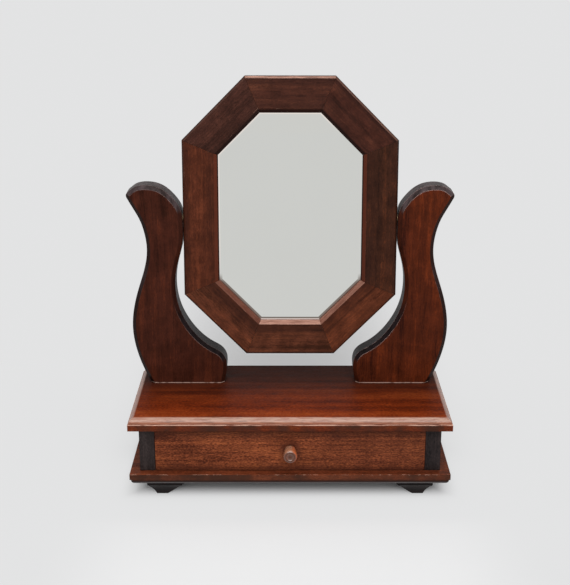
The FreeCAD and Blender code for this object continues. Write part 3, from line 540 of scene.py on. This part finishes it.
def ebonised_rim(tree, colour, along, facing):
    """Black on the edges and on the chamfer where it looks up, with a painted sheen high up; browner on the
    rest of the chamfer.
    """
    grain = spread(tree, stretched_noise(tree, along, (14.0, 130.0, 130.0), 3.0), 0.3, 0.7)
    length, _, across = parts(tree, along)
    height = sums(tree, "ABSOLUTE", length)
    # Painted sheen: the black is greyer high up on the horns.
    sheened = tinted(tree, grain, swatch(38, 30, 29), swatch(71, 60, 61))
    deep = tinted(tree, grain, swatch(14, 10, 10), swatch(30, 23, 24))
    black = tinted(tree, spread(tree, height, HORN_HEIGHT, SWEEP_HEIGHT), sheened, deep)
    side = sums(tree, "SIGN", sums(tree, "MULTIPLY", across, -1.0))
    outward = spread(tree, sums(tree, "MULTIPLY", side, facing[0]), 0.1, 0.4, 0.35, 0.9)
    chamfer = sums(tree, "MULTIPLY", spread(tree, facing[1], -0.97, -0.88), outward)
    colour = tinted(tree, chamfer, colour, swatch(24, 13, 10))
    edge = spread(tree, facing[1], -0.45, -0.25)
    raised = spread(tree, facing[2], 0.10, 0.34)
    raised = sums(tree, "MULTIPLY", raised, spread(tree, facing[1], -0.90, -0.82))
    return tinted(tree, sums(tree, "MAXIMUM", edge, raised), colour, black)


def waxed_foot(tree, colour, along, facing):
    """A thin broken bead of old pale wax where the standard stands on the board."""
    place = put(tree, "ShaderNodeTexCoord").outputs["Object"]
    bead = spread(tree, parts(tree, place)[2], BOARD_TOP + BEAD_END, BOARD_TOP + BEAD_FULL)
    bead = sums(tree, "MULTIPLY", bead, spread(tree, cloud(tree, place, 160.0, 2.0), 0.3, 0.5, 0.25, 0.9))
    return tinted(tree, bead, colour, swatch(176, 146, 134))


def standard_timber(name, dark, middle, light, seed, rub_share):
    """Mahogany with its grain upright, an ebonised rim and wax at the foot."""
    return polished_timber(name, dark, middle, light, turn=ALONG_Z, streak=0.009, wander=0.010, mottle=0.16,
                           pores=0.3, fleck=0.1, seed=seed, rub_and_highlight=(176, 146, 138), reach=0.5,
                           rub_share=rub_share, rub_lit_above=0.06, rub_width=0.0009, gloss=0.36,
                           top_coat=0.05, edge_coat=0.02, highlight_share=0.0, stain_and_painted_light=ebonised_rim, wax=waxed_foot)


# The right standard is lighter and redder than the left: its own figure, and painted light from the right.
finish(["standard_left"], standard_timber(
    "left standard mahogany", (38, 16, 9), (57, 26, 17), (72, 33, 20), seed=13.9, rub_share=0.3))
finish(["standard_right"], standard_timber(
    "right standard mahogany", (42, 15, 8), (69, 28, 13), (90, 37, 16), seed=17.2, rub_share=0.8))


# ------------------------------------------------------------ swivels
# A brass pin on each side, fast in the frame and free in the standard, with a thin washer that
# keeps the two woods apart.

pivot_brass = fixing_metal("pivot brass", dull=(206, 160, 104), bright=(252, 226, 180), roughness=0.5,
                           metallic=0.4)
finish(["pivot_pin_left", "pivot_pin_right", "pivot_washer_left", "pivot_washer_right"], pivot_brass)


# ------------------------------------------------------------ mirror frame
# Eight mahogany members, mitred and tongued into an octagon, chamfered outside and bevelled down
# to the glass inside. Each was cut from its own length of moulding, so the colour changes a little.

TILT = 4.8
PIVOT = next(joint["pos_m"] for joint in frame["joints"] if joint["name"] == "mirror_tilt")
MEMBER_WIDTH = 0.0449
HALF_WIDTH = extent("frame_right", 0)[1]
HALF_HEIGHT = 0.1774
CORNER_CUT = 0.0787
CORNER_REACH = (HALF_WIDTH + HALF_HEIGHT - CORNER_CUT) * math.sqrt(0.5)

# Where the darker borders and the painted shade lines begin and where they are full, measured out from the
# member's inner lip.
OUTER_DARKENING = (MEMBER_WIDTH - 0.012, MEMBER_WIDTH + 0.008)
INNER_DARKENING = (MEMBER_WIDTH - 0.008, MEMBER_WIDTH - 0.030)
DARKENING_DRIFT = 0.016
BEVEL_EDGE = (0.014, 0.010)
SEAM_BESIDE = 0.0018
SEAM_ABOVE = 0.0045
BLACK_RIM = (MEMBER_WIDTH - 0.0010, MEMBER_WIDTH - 0.0005)


def member_level(tree, along, reach):
    """How far a point lies out from the member's inner lip; reach is how far out the member ends."""
    out = sums(tree, "ABSOLUTE", parts(tree, along)[2])
    return sums(tree, "SUBTRACT", out, reach - MEMBER_WIDTH)


def darker_borders(reach, outer, inner):
    """Darker along a member's outer and inner borders, and a redder bevel at the sides, a painted highlight.
    """
    def stain_and_painted_light(tree, colour, along, facing):
        level = member_level(tree, along, reach)
        place = sums(tree, "MULTIPLY_ADD", cloud(tree, along, 30.0, 3.0), DARKENING_DRIFT, level)
        far = spread(tree, place, *OUTER_DARKENING, 0.0, outer)
        near = spread(tree, place, *INNER_DARKENING, 0.0, inner)
        colour = tinted(tree, sums(tree, "MAXIMUM", far, near), colour, swatch(32, 17, 14))
        # Painted highlight: the bevel is redder where it looks level or up.
        bevel = spread(tree, facing[1], -0.98, -0.93)
        bevel = sums(tree, "MULTIPLY", bevel, spread(tree, level, *BEVEL_EDGE))
        lit_bevel = sums(tree, "MULTIPLY", bevel, spread(tree, facing[2], -0.35, -0.15, 0.0, 0.6))
        return tinted(tree, lit_bevel, colour, swatch(86, 38, 22))
    return stain_and_painted_light


def shaded_lips(reach):
    """Painted shade: black lines on the lip at the glass and on the outer edge, but not where they look up.
    """
    def shade_lines(tree, colour, along, facing):
        level = member_level(tree, along, reach)
        width = spread(tree, facing[2], -0.1, -0.35, SEAM_BESIDE, SEAM_ABOVE)
        seam = spread(tree, sums(tree, "SUBTRACT", level, width), 0.0, -0.0008)
        seam = sums(tree, "MULTIPLY", seam, spread(tree, facing[2], 0.3, 0.15))
        limit = spread(tree, facing[1], -0.4, -0.2, 0.66, 0.86)
        rim = spread(tree, sums(tree, "SUBTRACT", facing[2], limit), 0.0, -0.05)
        rim = sums(tree, "MULTIPLY", rim, spread(tree, level, *BLACK_RIM))
        black = sums(tree, "MULTIPLY", sums(tree, "MAXIMUM", seam, rim), 0.85)
        return tinted(tree, black, colour, swatch(22, 8, 6))
    return shade_lines


# Each member's slant, how much darker its outer and inner borders are, the painted highlight of its
# chamfers and how far up they look before they catch it, and the wood's dark, middle and light.
members = {
    "frame_top": (0.0, (0.5, 0.35), (0.85, 0.42), (44, 22, 16), (61, 32, 23), (78, 43, 30)),
    "frame_top_right": (-45.0, (0.5, 0.35), (0.50, 0.36), (40, 20, 14), (59, 30, 22), (76, 41, 29)),
    "frame_right": (90.0, (0.3, 0.4), (0.85, 0.42), (36, 19, 12), (52, 28, 18), (74, 38, 22)),
    "frame_bottom_right": (45.0, (0.15, 0.5), (0.46, 0.22), (56, 26, 14), (81, 41, 25), (101, 51, 29)),
    "frame_bottom": (0.0, (0.15, 0.6), (0.72, 0.15), (53, 27, 16), (77, 41, 27), (96, 52, 33)),
    "frame_bottom_left": (-45.0, (0.1, 0.7), (0.32, 0.30), (54, 28, 17), (82, 43, 28), (103, 54, 33)),
    "frame_left": (90.0, (0.4, 0.3), (0.85, 0.42), (48, 22, 14), (69, 33, 20), (87, 43, 26)),
    "frame_top_left": (45.0, (0.6, 0.35), (0.25, 0.42), (44, 24, 18), (64, 36, 28), (82, 48, 38)),
}
for count, (node, traits) in enumerate(members.items()):
    slant, smoke, shine, dark, middle, light = traits
    reach = {0.0: HALF_HEIGHT, 90.0: HALF_WIDTH}.get(slant, CORNER_REACH)
    finish([node], polished_timber(
        node + " mahogany", dark, middle, light, turn=(TILT, slant, 0.0), centre=PIVOT, wander=0.006,
        mottle=0.22, pores=0.35, fleck=0.16, seed=21.0 + 2.3 * count, rub_and_highlight=(190, 150, 128), reach=0.27,
        rub_share=0.5, gloss=0.34, flats=(0.93, 0.80), edge_coat=0.1, highlight=(176, 133, 116),
        highlight_share=shine[0], highlight_below=shine[1], stain_and_painted_light=darker_borders(reach, *smoke),
        shade_lines=shaded_lips(reach)))
finish(["mitre_splines"], planed_pine("tongue pine", seed=9.9))


# ------------------------------------------------------------ glass and backing
# Silvered plate glass laid in the rebate, and a thin pine board behind it held by brads. The
# silvering is sound, a touch grey and green. Thin lines at the rim are painted shadow and painted
# reflections.

# Where each line begins and where it is full, measured from the frame's lip into the glass.
SHADOW_LINE = (-0.0038, -0.0033)
REFLECTED_LIP = (-0.0016, -0.0011)
UPPER_HIGHLIGHT = (-0.0019, -0.0013)

# How far below the swivels the lower lines begin and are full.
LOWER_PART = (-0.070, -0.084)


def silvered_glass():
    """A clean mirror, with a dark painted shadow, a brown painted reflection and bright painted reflections
    at the rim.
    """
    material = bpy.data.materials.new("silvered glass")
    material.use_nodes = True
    tree = material.node_tree
    shader = tree.nodes["Principled BSDF"]
    place = put(tree, "ShaderNodeTexCoord").outputs["Object"]
    bloom = cloud(tree, place, 9.0, 2.0)
    silver = tinted(tree, bloom, [0.765, 0.770, 0.735, 1.0], [0.790, 0.795, 0.762, 1.0])

    # How far a point lies inside the frame's lip, measured to the nearest of the eight sides.
    centred = moved(tree, place, [-part for part in PIVOT])
    turn = (math.radians(TILT), 0.0, 0.0)
    flat = put(tree, "ShaderNodeMapping", {"Vector": centred, "Rotation": turn}).outputs[0]
    across, _, up = parts(tree, flat)
    beside = sums(tree, "ABSOLUTE", across)
    above = sums(tree, "ABSOLUTE", up)
    slanted = sums(tree, "MULTIPLY", sums(tree, "ADD", beside, above), math.sqrt(0.5))
    side_rim = sums(tree, "SUBTRACT", beside, HALF_WIDTH - MEMBER_WIDTH)
    level_rim = sums(tree, "SUBTRACT", above, HALF_HEIGHT - MEMBER_WIDTH)
    slant_rim = sums(tree, "SUBTRACT", slanted, CORNER_REACH - MEMBER_WIDTH)
    rim = sums(tree, "MAXIMUM", side_rim, sums(tree, "MAXIMUM", level_rim, slant_rim))

    lower = spread(tree, up, *LOWER_PART)
    level_side = spread(tree, sums(tree, "SUBTRACT", level_rim, slant_rim), -0.0005, 0.0005)
    bottom = sums(tree, "MULTIPLY", lower, level_side)
    upper_left = spread(tree, sums(tree, "MULTIPLY_ADD", across, -1.2, up), 0.02, 0.08)
    # A painted shadow and painted reflections of the lip, along the lower and the upper left rim.
    for line, side, tone in (
            (SHADOW_LINE, lower, (138, 127, 119)), (REFLECTED_LIP, lower, (118, 92, 82)),
            (REFLECTED_LIP, bottom, (250, 232, 224)), (UPPER_HIGHLIGHT, upper_left, (255, 246, 238))):
        silver = tinted(tree, sums(tree, "MULTIPLY", side, spread(tree, rim, *line)), silver, swatch(*tone))
    tree.links.new(silver, shader.inputs["Base Color"])
    tree.links.new(spread(tree, bloom, 0.3, 0.7, 0.012, 0.03), shader.inputs["Roughness"])
    shader.inputs["Metallic"].default_value = 1.0
    return material


finish(["mirror_glass"], silvered_glass())
finish(["backing_board"], planed_pine("backing pine", seed=12.5, turn=ALONG_Z))
finish(["backing_sprigs"], screw_steel)


# ------------------------------------------------------------ floor and backdrop
# A plain pale floor, seen at one even tone and meeting a backdrop of the same tone. Close to the box,
# behind it and where the drawer comes out, the floor takes the light as it falls and keeps the shadow.

PALE = [0.765, 0.768, 0.772, 1.0]
BACKDROP_LIGHT = 0.25
BACKDROP_SEEN = 0.768

# The shade in front starts this far behind the knob's tip, and both shades fade over these distances
# from the box.
SHADE_START = 0.032
CONTACT_SHADE = (-0.026, 0.016)
SOFT_SHADE = (0.02, 0.3)

# Each shadow's half width, near end and far end, as where it is gone and where it is full.
CAST_SHADOW = ((0.28, 0.06), (-0.08, -0.01), (1.2, 0.4))
DRAWER_SHADOW = ((0.30, 0.16), (0.05, 0.08), (0.40, 0.18))


def seen_straight(tree):
    """1 where a surface is looked at, also in a mirror or through glass, and 0 where it only gives light."""
    ray = put(tree, "ShaderNodeLightPath").outputs
    seen = sums(tree, "MAXIMUM", ray["Is Camera Ray"], ray["Is Glossy Ray"])
    return sums(tree, "MAXIMUM", seen, ray["Is Transmission Ray"])


def kept_shadow(tree, clear, across, away, patch, share):
    """Takes a share of the even tone off a patch of floor: its half width, its near end and its far end."""
    side, near, far = patch
    length = sums(tree, "MULTIPLY", spread(tree, away, *near), spread(tree, away, *far))
    shadow = sums(tree, "MULTIPLY", spread(tree, across, *side), length)
    return sums(tree, "MULTIPLY", clear, sums(tree, "MULTIPLY_ADD", shadow, -share, 1.0))


def pale_floor():
    """Lit as any matt floor near the object, and one even tone farther off."""
    material = bpy.data.materials.new("pale floor")
    material.use_nodes = True
    tree = material.node_tree
    shader = tree.nodes["Principled BSDF"]
    shader.inputs["Base Color"].default_value = PALE
    shader.inputs["Roughness"].default_value = 0.9
    shader.inputs["Specular IOR Level"].default_value = 0.0
    x, y, _ = parts(tree, put(tree, "ShaderNodeTexCoord").outputs["Object"])
    across = sums(tree, "ABSOLUTE", x)
    behind = sums(tree, "SUBTRACT", y, cad_box[1][1])
    before = sums(tree, "SUBTRACT", cad_box[0][1] + SHADE_START, y)
    beside = sums(tree, "SUBTRACT", across, cad_box[1][0])
    away = sums(tree, "MAXIMUM", beside, sums(tree, "MAXIMUM", before, behind))
    near = spread(tree, away, *CONTACT_SHADE, 0.0, 0.93)
    clear = sums(tree, "ADD", near, spread(tree, away, *SOFT_SHADE, 0.0, 0.07))
    clear = kept_shadow(tree, clear, across, behind, CAST_SHADOW, 0.85)
    clear = kept_shadow(tree, clear, across, before, DRAWER_SHADOW, 0.6)
    even = put(tree, "ShaderNodeEmission", {"Color": PALE, "Strength": 1.0}).outputs[0]
    share = sums(tree, "MULTIPLY", clear, seen_straight(tree))
    both = put(tree, "ShaderNodeMixShader", {0: share, 1: shader.outputs[0], 2: even}).outputs[0]
    tree.links.new(both, tree.nodes["Material Output"].inputs["Surface"])
    return material


bpy.ops.mesh.primitive_plane_add(size=60.0, location=(0.0, 0.0, 0.0))
floor = bpy.context.active_object
floor.name = "floor"
floor.data.materials.append(pale_floor())

sky = bpy.data.worlds.new("even sky")
sky.use_nodes = True
bpy.context.scene.world = sky
backdrop = sky.node_tree.nodes["Background"]
backdrop.inputs["Color"].default_value = (1.0, 1.0, 1.0, 1.0)
strength = spread(sky.node_tree, seen_straight(sky.node_tree), 0.0, 1.0, BACKDROP_LIGHT, BACKDROP_SEEN)
sky.node_tree.links.new(strength, backdrop.inputs["Strength"])


# ------------------------------------------------------------ lamps
# A weak softbox overhead lights the boards' tops and shades the feet. A large one in front, above the
# viewer, lights the polished faces evenly and throws a soft shadow behind the box.

def softbox(name, place, size, energy, aim):
    """A rectangular area lamp; aim is its turn in degrees from looking straight down."""
    bpy.ops.object.light_add(type="AREA", location=place)
    lamp = bpy.context.active_object
    lamp.name = name
    lamp.data.shape = "RECTANGLE"
    lamp.data.size, lamp.data.size_y = size
    lamp.data.energy = energy
    lamp.rotation_euler = [math.radians(angle) for angle in aim]


softbox("overhead softbox", place=(0.08, -0.30, 2.0), size=(1.2, 1.0), energy=13.0, aim=(8.0, 2.5, 0.0))
softbox("front softbox", place=(0.0, -2.1, 1.7), size=(2.8, 1.7), energy=72.0, aim=(51.0, 0.0, 0.0))


# ------------------------------------------------------------ camera
# A long lens about 1.4 m in front of the mirror and a little above it, looking down on the board by
# some 18 degrees.

bpy.ops.object.camera_add(location=(-0.0055, -1.3520, 0.7039))
camera = bpy.context.active_object
camera.rotation_euler = [math.radians(angle) for angle in (71.704, -0.094, -0.192)]
camera.data.sensor_fit = "HORIZONTAL"
camera.data.sensor_width = 36.0
camera.data.lens = 71.646
camera.data.shift_x = -0.00877
camera.data.shift_y = -0.00526
bpy.context.scene.camera = camera
bpy.context.scene.view_settings.view_transform = "Standard"
